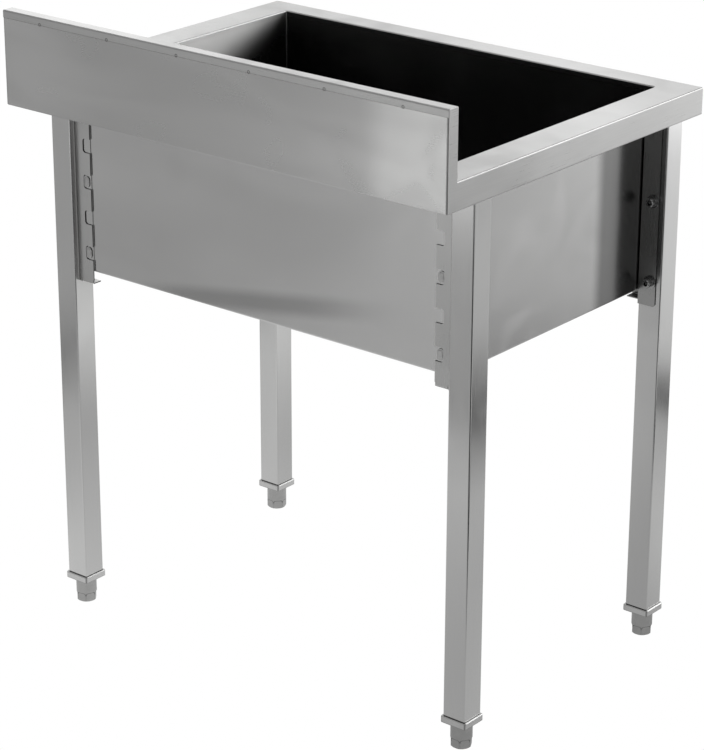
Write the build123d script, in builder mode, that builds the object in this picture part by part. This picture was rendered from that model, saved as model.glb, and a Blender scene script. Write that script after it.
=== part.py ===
from build123d import *
import os

# Free-standing stainless utility sink: a folded worktop with a splashback, a deep welded basin,
# four square tube legs bolted to Z-shaped brackets, and four screw-adjusted feet.
# Millimetres, Z up. The origin is on the floor, under the middle of the worktop.
# The user stands at the front, on the -Y side, so left is -X and right is +X.

os.makedirs("parts", exist_ok=True)

# ---------------------------------------------------------------- sizes of the sheet metal
SHEET = 1.2  # worktop, basin and back cover
FOLD = 2.0  # outside radius of a fold in that sheet
CORNER = 2.5  # ground and polished welded corners, outside
END_ROUNDING = 0.9  # ends of the splashback, welded on and polished
BRACKET_SHEET = 1.5
BRACKET_BEND = 1.6  # middle radius of a bend in the bracket

# ---------------------------------------------------------------- basin
BASIN_LENGTH = 690.0  # inside, along X
BASIN_WIDTH = 470.0  # inside, along Y
BASIN_DEPTH = 300.0  # worktop's top down to the bottom beside the walls
BASIN_CORNER = 2.5  # inside radius of the upright corners
BASIN_BEND = 3.0  # outside radius between walls and bottom
LAP = 1.0  # flanges of the end walls, welded outside the front and rear walls
BOTTOM_FALL = 5.0  # the bottom's four facets fall this far towards the drain
FALL_START = 5.0  # from the walls to where the fall begins
DRAIN_PAD = 110.0  # side of the flat square that the facets fall to
DISH_RADIUS = 43.0  # pressed seat of the waste fitting
DISH_DEPTH = 3.5
DRAIN_RADIUS = 26.0

# ---------------------------------------------------------------- legs and feet
DECK_TOP = 856.0
LEG_SIZE = 38.0
LEG_WALL = 1.5
LEG_CORNER = 2.2
LEG_STEP = 11.3  # the leg's outer face stands this far beyond the basin's wall
LEG_TOP_GAP = 0.3
FOOT_HEIGHT = 38.0
FOOT_GAP = 0.5  # foot to plug with the foot screwed right up
PLUG_FLANGE = 9.5
PLUG_LIP = 3.0  # the plug's flange stands out this far from the leg
PLUG_CORNER = 4.0
PLUG_EDGE = 1.0
PLUG_INSERT = 24.0
PLUG_CLEARANCE = 0.2  # insert to tube, each side
PLUG_WALL = 2.5
PLUG_BOSS_RADIUS = 10.5
FOOT_RADIUS = 15.8
FOOT_CHAMFER = 1.5
FLAT_COUNT = 6
FLAT_DEPTH = 1.8  # wrench flats milled into the foot's side
FLAT_HEIGHT = 14.0
FLAT_CORNER = 3.0  # upper corners of a flat
STUD_RADIUS = 6.0
STUD_HEAD_RADIUS = 8.0
STUD_HEAD_HEIGHT = 4.0
STUD_HEAD_FLOOR = 7.0  # height of the stud's head over the floor
STUD_TOP = 92.0
THREAD_CLEARANCE = 0.05  # stud in plug and in foot, on the radius
HEAD_CLEARANCE = 0.35  # stud's head in the foot's chamber
# How far each foot stands turned, from one of its flats facing +X, in degrees.
FOOT_TURNS = {"rear_left": 28.0, "rear_right": 39.0, "front_left": 32.0, "front_right": 19.0}

# ---------------------------------------------------------------- worktop
APRON_HEIGHT = 40.0
RETURN_WIDTH = 12.0  # the apron's bottom edge folds in this far
RETURN_CLEARANCE = 1.0  # return to leg
RETURN_STOP = 12.0  # the side returns stop this far from the back, to let the cover in
FRONT_RIM = 42.5
REAR_RIM = 67.5  # basin to splashback
OPENING_FLANGE = 8.0  # the opening's edge folds down to the basin's welded joint
SPLASH_HEIGHT = 100.0
SPLASH_DEPTH = 20.0
LIP_HEIGHT = 11.0  # the splashback's top folds down behind by this much
CAP_SETBACK = 1.4  # the end caps stop this far short of the back
COVER_RETURN = 10.0
COVER_CLEARANCE = 0.5  # back cover to end caps
COVER_JOINT = 0.3  # back cover to the lip over it

# ---------------------------------------------------------------- brackets and fasteners
WEB_CLEARANCE = 1.3  # bracket's web to the basin's side wall
WALL_FLANGE = 30.0  # bracket's flange on the basin's wall
LEG_FLANGE = 29.0  # bracket's flange on the leg
LEG_FLANGE_CHAMFER = 3.5
BRACKET_DROP = 20.0  # bracket below the basin's bottom edge
BRACKET_TOP_GAP = 5.0  # bracket to the worktop's top
NOTCHES = 5
NOTCH_END = 47.5  # first and last notch to the bracket's ends
NOTCH_HEIGHT = 21.5
NOTCH_DEPTH = 14.0
NOTCH_CORNER = 4.5
WELD_WIDTH = 12.5
WELD_HEIGHT = 17.0
WELD_RISE = 1.1
WELD_BITE = 1.5  # overlap of weld and bracket
TOE_WIDTH = 21.0
TOE_DEPTH = 15.0
TOE_RISE = 6.0
TOE_SET_IN = 1.0  # toe to the flange's free edge
SCREWS = 3
SCREW_END_LOW = 37.0
SCREW_END_HIGH = 32.0
SCREW_RADIUS = 4.0
SCREW_LENGTH = 20.0
SCREW_HEAD_RADIUS = 6.5
SCREW_HEAD_HEIGHT = 8.0
SCREW_HEAD_CHAMFER = 0.8
SOCKET_FLATS = 6.0
SOCKET_DEPTH = 4.5
HOLE_CLEARANCE = 0.5  # screw in bracket and leg, on the radius
WASHER_RADIUS = 10.0
WASHER_THICKNESS = 1.6
WASHER_CLEARANCE = 0.25
SPRING_WASHER_RADIUS = 7.4
SPRING_WASHER_THICKNESS = 2.0
SPRING_WASHER_SLIT = 1.4
NUT_FLATS = 13.0
NUT_HEIGHT = 6.5
NUT_CLEARANCE = 0.05

# ---------------------------------------------------------------- places that follow from the sizes
LEG_INNER = BASIN_LENGTH / 2 + SHEET + WEB_CLEARANCE + BRACKET_SHEET
FREE_EDGE = LEG_INNER - WALL_FLANGE
SIDE_RIM = LEG_INNER + LEG_SIZE + RETURN_CLEARANCE + RETURN_WIDTH - BASIN_LENGTH / 2
HALF_WIDTH = BASIN_LENGTH / 2 + SIDE_RIM
DEPTH = FRONT_RIM + BASIN_WIDTH + REAR_RIM + SPLASH_DEPTH
FRONT = -DEPTH / 2
BACK = DEPTH / 2
CAP_BACK = BACK - CAP_SETBACK
SPLASH_FRONT = BACK - SPLASH_DEPTH
SPLASH_TOP = DECK_TOP + SPLASH_HEIGHT
LIP_BOTTOM = SPLASH_TOP - LIP_HEIGHT
APRON_BOTTOM = DECK_TOP - APRON_HEIGHT
DECK_UNDER = DECK_TOP - SHEET
BASIN_MIDDLE = FRONT + FRONT_RIM + BASIN_WIDTH / 2
BASIN_TOP = DECK_TOP - OPENING_FLANGE
BASIN_BOTTOM = DECK_TOP - BASIN_DEPTH - SHEET
DISH_BOTTOM = BASIN_BOTTOM - BOTTOM_FALL - DISH_DEPTH
BASIN_WALL = BASIN_WIDTH / 2 + SHEET  # outer face of the front and rear walls, from BASIN_MIDDLE
LAP_END = BASIN_LENGTH / 2 - BASIN_CORNER
LEG_OUTER_Y = BASIN_WALL + LEG_STEP  # from BASIN_MIDDLE, like the next two
LEG_INNER_Y = LEG_OUTER_Y - LEG_SIZE
LEG_MIDDLE_Y = LEG_OUTER_Y - LEG_SIZE / 2
LEG_MIDDLE_X = LEG_INNER + LEG_SIZE / 2
LEG_BOTTOM = FOOT_HEIGHT + FOOT_GAP + PLUG_FLANGE
LEG_LENGTH = DECK_UNDER - LEG_TOP_GAP - LEG_BOTTOM
PLUG_BOTTOM = LEG_BOTTOM - PLUG_FLANGE
BRACKET_BOTTOM = DECK_TOP - BASIN_DEPTH - BRACKET_DROP
BRACKET_LENGTH = DECK_TOP - BRACKET_TOP_GAP - BRACKET_BOTTOM
NOTCH_PITCH = (BRACKET_LENGTH - 2 * NOTCH_END) / (NOTCHES - 1)
SCREW_PITCH = (BRACKET_LENGTH - SCREW_END_LOW - SCREW_END_HIGH) / (SCREWS - 1)
SCREW_HEIGHTS = [BRACKET_BOTTOM + SCREW_END_LOW + SCREW_PITCH * n for n in range(SCREWS)]
SCREW_STACK = WASHER_THICKNESS + SPRING_WASHER_THICKNESS
SCREW_HOLE = SCREW_RADIUS + HOLE_CLEARANCE

# Each corner's name with the signs of its X and of its Y from the basin's middle.
CORNERS = {
    "rear_left": (-1, 1),
    "rear_right": (1, 1),
    "front_left": (-1, -1),
    "front_right": (1, -1),
}


def place(side, end, across, along):
    """The XY point at distance across from the YZ plane and along from the basin's middle."""
    return side * across, BASIN_MIDDLE + end * along


def upright_plane(side, end, across, along):
    """An XZ plane through that point, for profiles that are turned about the point's Z axis."""
    x, y = place(side, end, across, along)
    return Plane(origin=(x, y, 0), x_dir=(1, 0, 0), z_dir=(0, -1, 0))


def flange_plane(end, along):
    """The plane of a face that looks along Y: local x is X and local y is Z."""
    return Plane.XZ.offset(-(BASIN_MIDDLE + end * along))


def finish(node, name):
    """Labels a finished piece and writes its file."""
    node.part.label = name
    export_step(node.part, f"parts/{name}.step")


def folded_box(half_width, front, back, bottom, top, corner, fold):
    """A box with its front and side folds and its front corners rounded, and a square back."""
    with BuildPart() as box:
        with BuildSketch(Plane.XY.offset(bottom)):
            with Locations((0, (front + back) / 2)):
                Rectangle(2 * half_width, back - front)
        extrude(amount=top - bottom)
        fillet(box.edges().filter_by(Axis.Z).group_by(Axis.Y)[0], corner)
        rims = box.edges().group_by(Axis.Z)
        open_rims = ShapeList(rims[0] + rims[-1]).filter_by(lambda e: e.center().Y < back - corner)
        fillet(open_rims, fold)
    return box.part


def splash_box(half_width, front, back, bottom, top, fold, end):
    """The splashback's block: folded edges along X, polished edges round both ends."""
    with BuildPart() as block:
        with BuildSketch(Plane.YZ) as section:
            with Locations(((front + back) / 2, (bottom + top) / 2)):
                Rectangle(back - front, top - bottom)
            fillet(section.vertices().group_by(Axis.Y)[-1], fold)
        extrude(amount=half_width, both=True)
        outlines = block.edges().group_by(Axis.X)
        ends = ShapeList(outlines[0] + outlines[-1]).filter_by(lambda e: e.center().Z > bottom + end)
        fillet(ends, end)
    return block.part


def tub(bottom, growth):
    """The basin's solid shape, its walls moved out by growth: its bottom falls in four facets."""
    length = BASIN_LENGTH + 2 * growth
    width = BASIN_WIDTH + 2 * growth
    bend = BASIN_BEND - SHEET + growth
    with BuildPart() as block:
        with BuildSketch(Plane.XY.offset(bottom)):
            with Locations((0, BASIN_MIDDLE)):
                RectangleRounded(length, width, BASIN_CORNER + growth)
        extrude(amount=BASIN_TOP - bottom)
        fillet(block.edges().group_by(Axis.Z)[0], bend)
        with BuildSketch(Plane.XY.offset(bottom)):
            with Locations((0, BASIN_MIDDLE)):
                Rectangle(length - 2 * FALL_START, width - 2 * FALL_START)
        with BuildSketch(Plane.XY.offset(bottom - BOTTOM_FALL)):
            with Locations((0, BASIN_MIDDLE)):
                Rectangle(DRAIN_PAD, DRAIN_PAD)
        loft(ruled=True)
    return block.part


# ---------------------------------------------------------------- worktop
tray_outside = folded_box(HALF_WIDTH, FRONT, CAP_BACK, APRON_BOTTOM, DECK_TOP, CORNER, FOLD)
tray_inside = folded_box(
    HALF_WIDTH - SHEET, FRONT + SHEET, BACK + SHEET, APRON_BOTTOM + SHEET, DECK_UNDER,
    CORNER - SHEET, FOLD - SHEET,
)
splash_outside = splash_box(
    HALF_WIDTH, SPLASH_FRONT, BACK, APRON_BOTTOM + FOLD, SPLASH_TOP, FOLD, END_ROUNDING
)
splash_inside = splash_box(
    HALF_WIDTH - SHEET, SPLASH_FRONT + SHEET, BACK - SHEET, APRON_BOTTOM + SHEET,
    SPLASH_TOP - SHEET, FOLD - SHEET, END_ROUNDING / 2,
)

with BuildPart() as worktop:
    add(tray_outside)
    add(splash_outside)
    # cove where the deck turns up into the splashback
    with BuildSketch(Plane.YZ):
        with Locations((SPLASH_FRONT, DECK_TOP)):
            Rectangle(FOLD, FOLD, align=(Align.MAX, Align.MIN))
        with Locations((SPLASH_FRONT - FOLD, DECK_TOP + FOLD)):
            Circle(FOLD, mode=Mode.SUBTRACT)
    extrude(amount=HALF_WIDTH - FOLD, both=True)
    add(tray_inside, mode=Mode.SUBTRACT)
    add(splash_inside, mode=Mode.SUBTRACT)
    # open underside, inside the returns
    with BuildSketch(Plane.XY.offset(APRON_BOTTOM)):
        with Locations((0, FRONT + RETURN_WIDTH)):
            Rectangle(2 * (HALF_WIDTH - RETURN_WIDTH), DEPTH, align=(Align.CENTER, Align.MIN))
        with Locations((0, BACK - RETURN_STOP)):
            Rectangle(2 * (HALF_WIDTH - SHEET), DEPTH, align=(Align.CENTER, Align.MIN))
    extrude(amount=2 * SHEET, mode=Mode.SUBTRACT)
    # open back, from under the lip down
    with BuildSketch(Plane.XY.offset(APRON_BOTTOM)):
        with Locations((0, CAP_BACK)):
            Rectangle(2 * HALF_WIDTH, SPLASH_DEPTH, align=(Align.CENTER, Align.MIN))
    extrude(amount=LIP_BOTTOM - APRON_BOTTOM, mode=Mode.SUBTRACT)
    # opening for the basin, its edge folded down
    with BuildSketch(Plane.XY.offset(BASIN_TOP)):
        with Locations((0, BASIN_MIDDLE)):
            RectangleRounded(BASIN_LENGTH + 2 * SHEET, BASIN_WIDTH + 2 * SHEET, BASIN_CORNER + SHEET)
    extrude(amount=OPENING_FLANGE - SHEET / 2)
    with BuildSketch(Plane.XY.offset(BASIN_TOP)):
        with Locations((0, BASIN_MIDDLE)):
            RectangleRounded(BASIN_LENGTH, BASIN_WIDTH, BASIN_CORNER)
    extrude(amount=OPENING_FLANGE, mode=Mode.SUBTRACT)
    mouth = worktop.edges().filter_by(
        lambda e: abs(e.center().Z - DECK_TOP) < SHEET / 4
        and abs(e.center().X) < BASIN_LENGTH / 2 + SHEET
        and abs(e.center().Y - BASIN_MIDDLE) < BASIN_WIDTH / 2 + SHEET
    )
    fillet(mouth, FOLD)
finish(worktop, "worktop")

# ---------------------------------------------------------------- basin
with BuildPart() as basin:
    add(tub(BASIN_BOTTOM, SHEET))
    with BuildSketch(Plane.XY.offset(DISH_BOTTOM)):
        with Locations((0, BASIN_MIDDLE)):
            Circle(DISH_RADIUS + SHEET)
    extrude(amount=DISH_DEPTH)
    add(tub(BASIN_BOTTOM + SHEET, 0), mode=Mode.SUBTRACT)
    with BuildSketch(Plane.XY.offset(DISH_BOTTOM + SHEET)):
        with Locations((0, BASIN_MIDDLE)):
            Circle(DISH_RADIUS)
    extrude(amount=DISH_DEPTH, mode=Mode.SUBTRACT)
    with BuildSketch(Plane.XY.offset(DISH_BOTTOM)):
        with Locations((0, BASIN_MIDDLE)):
            Circle(DRAIN_RADIUS)
    extrude(amount=2 * SHEET, mode=Mode.SUBTRACT)
    # the end walls' flanges end under the free edges of the brackets
    with BuildSketch(Plane.XY.offset(BASIN_BOTTOM + BASIN_BEND)):
        for side, end in CORNERS.values():
            with Locations(place(side, end, (FREE_EDGE + LAP_END) / 2, BASIN_WALL)):
                Rectangle(LAP_END - FREE_EDGE, 2 * LAP)  # half of it in the wall
    extrude(amount=BASIN_TOP - BASIN_BOTTOM - BASIN_BEND)
finish(basin, "basin")

# ---------------------------------------------------------------- back cover
with BuildPart() as back_cover:
    with BuildSketch(Plane.XZ.offset(-BACK)) as cover_face:
        with Locations((0, (APRON_BOTTOM + LIP_BOTTOM - COVER_JOINT) / 2)):
            Rectangle(
                2 * (HALF_WIDTH - SHEET - COVER_CLEARANCE),
                LIP_BOTTOM - COVER_JOINT - APRON_BOTTOM,
            )
    extrude(amount=COVER_RETURN)
    folds = back_cover.edges().group_by(Axis.Y)[-1].sort_by(Axis.Z)[:-1]
    fillet(folds, FOLD)
    open_sides = [back_cover.faces().sort_by(Axis.Y)[0], back_cover.faces().sort_by(Axis.Z)[-1]]
    offset(amount=-SHEET, openings=open_sides)
finish(back_cover, "back_cover")

# ---------------------------------------------------------------- legs
for corner, (side, end) in CORNERS.items():
    with BuildPart() as leg:
        with BuildSketch(Plane.XY.offset(LEG_BOTTOM)):
            with Locations(place(side, end, LEG_MIDDLE_X, LEG_MIDDLE_Y)):
                RectangleRounded(LEG_SIZE, LEG_SIZE, LEG_CORNER)
                bore = LEG_SIZE - 2 * LEG_WALL
                RectangleRounded(bore, bore, LEG_CORNER - LEG_WALL, mode=Mode.SUBTRACT)
        extrude(amount=LEG_LENGTH)
        with BuildSketch(flange_plane(end, LEG_INNER_Y)):
            with Locations(*[(side * LEG_MIDDLE_X, height) for height in SCREW_HEIGHTS]):
                Circle(SCREW_HOLE)
        extrude(amount=2 * LEG_WALL, both=True, mode=Mode.SUBTRACT)
    finish(leg, f"leg_{corner}")

# ---------------------------------------------------------------- leg brackets
TOE_START = FREE_EDGE + TOE_SET_IN
LAP_FACE = BASIN_WALL + LAP
WALL_FLANGE_Y = LAP_FACE + BRACKET_SHEET / 2
LEG_FLANGE_Y = LEG_INNER_Y - BRACKET_SHEET / 2
WEB_X = LEG_INNER - BRACKET_SHEET / 2
NOTCH_HEIGHTS = [BRACKET_BOTTOM + NOTCH_END + NOTCH_PITCH * n for n in range(NOTCHES)]

for corner, (side, end) in CORNERS.items():
    with BuildPart() as bracket:
        # Z-shaped section: flange on the basin's wall, web beside the leg, flange on the leg
        with BuildSketch(Plane.XY.offset(BRACKET_BOTTOM)):
            with BuildLine():
                FilletPolyline(
                    place(side, end, FREE_EDGE, WALL_FLANGE_Y),
                    place(side, end, WEB_X, WALL_FLANGE_Y),
                    place(side, end, WEB_X, LEG_FLANGE_Y),
                    place(side, end, LEG_INNER + LEG_FLANGE, LEG_FLANGE_Y),
                    radius=BRACKET_BEND,
                )
            trace(line_width=BRACKET_SHEET)
        extrude(amount=BRACKET_LENGTH)
        free_corners = bracket.edges().filter_by(Axis.Y).filter_by(
            lambda e: abs(e.center().X) > LEG_INNER + LEG_FLANGE - BRACKET_SHEET / 2
        )
        chamfer(free_corners, LEG_FLANGE_CHAMFER)
        # welding notches in the wall flange
        with BuildSketch(flange_plane(end, WALL_FLANGE_Y)):
            with Locations(*[(side * FREE_EDGE, height) for height in NOTCH_HEIGHTS]):
                RectangleRounded(2 * NOTCH_DEPTH, NOTCH_HEIGHT, NOTCH_CORNER)
        extrude(amount=BRACKET_SHEET, both=True, mode=Mode.SUBTRACT)
        # a flat weld fills every second notch, over the lap
        with BuildSketch(flange_plane(end, LAP_FACE)):
            weld_x = side * (FREE_EDGE + NOTCH_DEPTH + WELD_BITE - WELD_WIDTH / 2)
            with Locations(*[(weld_x, height) for height in NOTCH_HEIGHTS[::2]]):
                RectangleRounded(WELD_WIDTH, WELD_HEIGHT, WELD_WIDTH / 2.2)
        extrude(amount=-end * WELD_RISE)
        # toe: the wall flange's bottom edge folds in under the basin
        with BuildSketch(flange_plane(end, WALL_FLANGE_Y)):
            with Locations((side * (FREE_EDGE + TOE_WIDTH / 2 + TOE_SET_IN), BRACKET_BOTTOM)):
                Rectangle(TOE_WIDTH + 2 * BRACKET_BEND, 2 * TOE_RISE)
        extrude(amount=BRACKET_SHEET, both=True, mode=Mode.SUBTRACT)
        with BuildSketch(Plane.YZ.offset(side * TOE_START)):
            with BuildLine():
                toe_y = BASIN_MIDDLE + end * WALL_FLANGE_Y
                FilletPolyline(
                    (toe_y, BRACKET_BOTTOM + TOE_RISE),
                    (toe_y, BRACKET_BOTTOM + BRACKET_SHEET / 2),
                    (toe_y - end * TOE_DEPTH, BRACKET_BOTTOM + BRACKET_SHEET / 2),
                    radius=BRACKET_BEND,
                )
            trace(line_width=BRACKET_SHEET)
        extrude(amount=side * TOE_WIDTH)
        # screw holes in the leg flange
        with BuildSketch(flange_plane(end, LEG_FLANGE_Y)):
            with Locations(*[(side * LEG_MIDDLE_X, height) for height in SCREW_HEIGHTS]):
                Circle(SCREW_HOLE)
        extrude(amount=BRACKET_SHEET, both=True, mode=Mode.SUBTRACT)
    finish(bracket, f"bracket_{corner}")

# ---------------------------------------------------------------- leg plugs
INSERT = LEG_SIZE - 2 * LEG_WALL - 2 * PLUG_CLEARANCE
STUD_BORE = STUD_RADIUS + THREAD_CLEARANCE

for corner, (side, end) in CORNERS.items():
    centre = place(side, end, LEG_MIDDLE_X, LEG_MIDDLE_Y)
    with BuildPart() as plug:
        with BuildSketch(Plane.XY.offset(PLUG_BOTTOM)):
            with Locations(centre):
                RectangleRounded(LEG_SIZE + 2 * PLUG_LIP, LEG_SIZE + 2 * PLUG_LIP, PLUG_CORNER)
        extrude(amount=PLUG_FLANGE)
        chamfer(plug.edges().group_by(Axis.Z)[-1], PLUG_EDGE)
        with BuildSketch(Plane.XY.offset(LEG_BOTTOM)):
            with Locations(centre):
                RectangleRounded(INSERT, INSERT, PLUG_WALL)
                hollow = INSERT - 2 * PLUG_WALL
                RectangleRounded(hollow, hollow, PLUG_WALL / 2, mode=Mode.SUBTRACT)
                Circle(PLUG_BOSS_RADIUS)
                Rectangle(hollow + PLUG_WALL, PLUG_WALL)
                Rectangle(PLUG_WALL, hollow + PLUG_WALL)
        extrude(amount=PLUG_INSERT)
        with BuildSketch(Plane.XY.offset(PLUG_BOTTOM)):
            with Locations(centre):
                Circle(STUD_BORE)
        extrude(amount=PLUG_FLANGE + PLUG_INSERT, mode=Mode.SUBTRACT)
    finish(plug, f"plug_{corner}")

# ---------------------------------------------------------------- feet and their threaded studs
CHAMBER_TOP = STUD_HEAD_FLOOR + STUD_HEAD_HEIGHT + HEAD_CLEARANCE
CHAMBER_BOTTOM = STUD_HEAD_FLOOR - HEAD_CLEARANCE
CHAMBER_RADIUS = STUD_HEAD_RADIUS + HEAD_CLEARANCE
FLAT_WIDTH = 2 * (FLAT_DEPTH * (2 * FOOT_RADIUS - FLAT_DEPTH)) ** 0.5

# what the mill takes off for one wrench flat, on the +X side of a foot at the origin
with BuildPart() as flat_block:
    with BuildSketch(Plane.YZ.offset(FOOT_RADIUS - FLAT_DEPTH)):
        RectangleRounded(FLAT_WIDTH, 2 * FLAT_HEIGHT, FLAT_CORNER)
    extrude(amount=2 * FLAT_DEPTH)
flat_cut = flat_block.part

for corner, (side, end) in CORNERS.items():
    centre = place(side, end, LEG_MIDDLE_X, LEG_MIDDLE_Y)
    turning_axis = Axis((*centre, 0), (0, 0, 1))
    section_plane = upright_plane(side, end, LEG_MIDDLE_X, LEG_MIDDLE_Y)
    with BuildPart() as stud:
        with BuildSketch(Plane.XY.offset(STUD_HEAD_FLOOR)):
            with Locations(centre):
                Circle(STUD_HEAD_RADIUS)
        extrude(amount=STUD_HEAD_HEIGHT)
        with BuildSketch(Plane.XY.offset(STUD_HEAD_FLOOR)):
            with Locations(centre):
                Circle(STUD_RADIUS)
        extrude(amount=STUD_TOP - STUD_HEAD_FLOOR)
        chamfer(stud.edges().sort_by(Axis.Z)[-1], STUD_RADIUS / 6)
    finish(stud, f"stud_{corner}")

    with BuildPart() as foot:
        with BuildSketch(section_plane):
            with BuildLine():
                Polyline(
                    (0, 0),
                    (FOOT_RADIUS - FOOT_CHAMFER, 0),
                    (FOOT_RADIUS, FOOT_CHAMFER),
                    (FOOT_RADIUS, FOOT_HEIGHT),
                    (0, FOOT_HEIGHT),
                    close=True,
                )
            make_face()
        revolve(axis=turning_axis)
        with Locations(Location((*centre, 0), (0, 0, FOOT_TURNS[corner]))):
            with PolarLocations(0, FLAT_COUNT):
                add(flat_cut, mode=Mode.SUBTRACT)
        # bore for the stud, and the chamber that holds its head
        with BuildSketch(section_plane):
            with BuildLine():
                Polyline(
                    (0, CHAMBER_BOTTOM),
                    (CHAMBER_RADIUS, CHAMBER_BOTTOM),
                    (CHAMBER_RADIUS, CHAMBER_TOP),
                    (STUD_BORE, CHAMBER_TOP),
                    (STUD_BORE, FOOT_HEIGHT),
                    (0, FOOT_HEIGHT),
                    close=True,
                )
            make_face()
        revolve(axis=turning_axis, mode=Mode.SUBTRACT)
    finish(foot, f"foot_{corner}")

# ---------------------------------------------------------------- fasteners
# One seat for each screw: on the leg flange's inner face, its Z pointing out to the screw's head.
SCREW_SEATS = [
    Plane(
        origin=(*place(side, end, LEG_MIDDLE_X, LEG_INNER_Y - BRACKET_SHEET), height),
        x_dir=(1, 0, 0),
        z_dir=(0, -end, 0),
    )
    for side, end in CORNERS.values()
    for height in SCREW_HEIGHTS
]
NUT_SEAT = -(BRACKET_SHEET + LEG_WALL)

with BuildPart() as flat_washers:
    for seat in SCREW_SEATS:
        with BuildSketch(seat):
            Circle(WASHER_RADIUS)
            Circle(SCREW_RADIUS + WASHER_CLEARANCE, mode=Mode.SUBTRACT)
        extrude(amount=WASHER_THICKNESS)
finish(flat_washers, "flat_washers")

with BuildPart() as spring_washers:
    for seat in SCREW_SEATS:
        with BuildSketch(seat.offset(WASHER_THICKNESS)):
            Circle(SPRING_WASHER_RADIUS)
            Circle(SCREW_RADIUS + WASHER_CLEARANCE, mode=Mode.SUBTRACT)
            with Locations((SPRING_WASHER_RADIUS / 2, 0)):
                Rectangle(SPRING_WASHER_RADIUS, SPRING_WASHER_SLIT, mode=Mode.SUBTRACT)
        extrude(amount=SPRING_WASHER_THICKNESS)
finish(spring_washers, "spring_washers")

with BuildPart() as screws:
    for seat in SCREW_SEATS:
        with BuildSketch(seat.offset(SCREW_STACK)):
            Circle(SCREW_HEAD_RADIUS)
        extrude(amount=SCREW_HEAD_HEIGHT - SCREW_HEAD_CHAMFER)
        with BuildSketch(seat.offset(SCREW_STACK + SCREW_HEAD_HEIGHT - SCREW_HEAD_CHAMFER)):
            Circle(SCREW_HEAD_RADIUS)
        extrude(amount=SCREW_HEAD_CHAMFER, taper=45)
        with BuildSketch(seat.offset(SCREW_STACK)):
            Circle(SCREW_RADIUS)
        extrude(amount=-SCREW_LENGTH)
        with BuildSketch(seat.offset(SCREW_STACK + SCREW_HEAD_HEIGHT)):
            RegularPolygon(SOCKET_FLATS / 2, 6, major_radius=False)
        extrude(amount=-SOCKET_DEPTH, mode=Mode.SUBTRACT)
finish(screws, "socket_screws")

with BuildPart() as weld_nuts:
    for seat in SCREW_SEATS:
        with BuildSketch(seat.offset(NUT_SEAT)):
            RegularPolygon(NUT_FLATS / 2, 6, major_radius=False)
            Circle(SCREW_RADIUS + NUT_CLEARANCE, mode=Mode.SUBTRACT)
        extrude(amount=-NUT_HEIGHT)
finish(weld_nuts, "weld_nuts")
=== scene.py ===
"""Looks of a free-standing stainless utility sink: satin and brushed steel, fasteners, welds and studio."""

import math
import random

import bmesh
import bpy
from bpy.props import FloatProperty, FloatVectorProperty, IntProperty, PointerProperty
from bpy.types import Operator, Panel, PropertyGroup
from mathutils import Euler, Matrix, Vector


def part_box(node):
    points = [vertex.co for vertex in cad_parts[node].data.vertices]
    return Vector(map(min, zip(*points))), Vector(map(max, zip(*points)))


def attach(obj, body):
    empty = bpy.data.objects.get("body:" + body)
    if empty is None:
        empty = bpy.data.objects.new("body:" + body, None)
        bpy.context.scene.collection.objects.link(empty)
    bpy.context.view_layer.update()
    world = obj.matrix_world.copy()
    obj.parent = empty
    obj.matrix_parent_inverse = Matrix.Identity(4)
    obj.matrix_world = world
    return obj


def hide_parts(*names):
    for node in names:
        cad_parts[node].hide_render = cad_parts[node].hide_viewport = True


bl_info = {
    "name": "Utility Sink",
    "version": (1, 0, 0),
    "blender": (4, 5, 0),
    "location": "3D View > Sidebar > Utility Sink",
    "description": "Finishes a stainless utility sink and sets up its studio",
    "category": "Object",
}

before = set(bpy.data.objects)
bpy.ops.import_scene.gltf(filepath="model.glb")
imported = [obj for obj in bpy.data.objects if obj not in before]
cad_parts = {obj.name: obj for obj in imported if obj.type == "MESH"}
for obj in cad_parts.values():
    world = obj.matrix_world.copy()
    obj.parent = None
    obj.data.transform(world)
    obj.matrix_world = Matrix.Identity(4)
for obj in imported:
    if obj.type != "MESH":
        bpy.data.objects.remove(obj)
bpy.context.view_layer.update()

CORNERS = ("rear_left", "rear_right", "front_left", "front_right")
MM = 0.001


# ---------- settings
def colour_setting(name, what, default):
    """A colour that a user can change."""
    return FloatVectorProperty(
        name=name, description=f"Colour of {what}", subtype="COLOR", size=3, min=0, max=1, default=default
    )


def length_setting(name, description, default, **limits):
    """A length that a user can change."""
    return FloatProperty(name=name, description=description, unit="LENGTH", default=default, **limits)


class SinkSteel(PropertyGroup):
    """Colours and grain of the sink's steel."""

    sheet: colour_setting("Sheet", "the worktop, basin and back cover", (0.60, 0.60, 0.595))
    basin: colour_setting("Basin", "the basin", (0.63, 0.63, 0.625))
    # painted shade: the basin's dark inside
    basin_inside_shade: colour_setting("Basin inside shade", "the basin's long inner faces and its bottom", (0.06, 0.06, 0.06))
    # painted highlight: the bright inner end walls
    basin_ends_highlight: colour_setting("Basin ends highlight", "the basin's inner end faces", (1.0, 1.0, 0.99))
    tube: colour_setting("Tube", "the legs and plugs", (0.62, 0.62, 0.615))
    bracket: colour_setting("Bracket", "the leg brackets", (0.56, 0.56, 0.555))
    # near black: real weld burns, and painted shade on edges, seams, corners and sockets
    burn_and_shade: colour_setting("Burn and shade", "weld burns and painted shade", (0.05, 0.05, 0.05))
    fastener: colour_setting("Fastener", "screws, washers and nuts", (0.36, 0.36, 0.36))
    foot: colour_setting("Foot", "the turned feet", (0.42, 0.42, 0.415))
    grain_length: length_setting("Grain length", "Length of one brushed scratch", 0.06, min=0.005, max=0.5)
    grain_width: length_setting("Grain width", "Spacing of the brushed scratches", 0.0009, min=0.0002, max=0.01)


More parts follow.
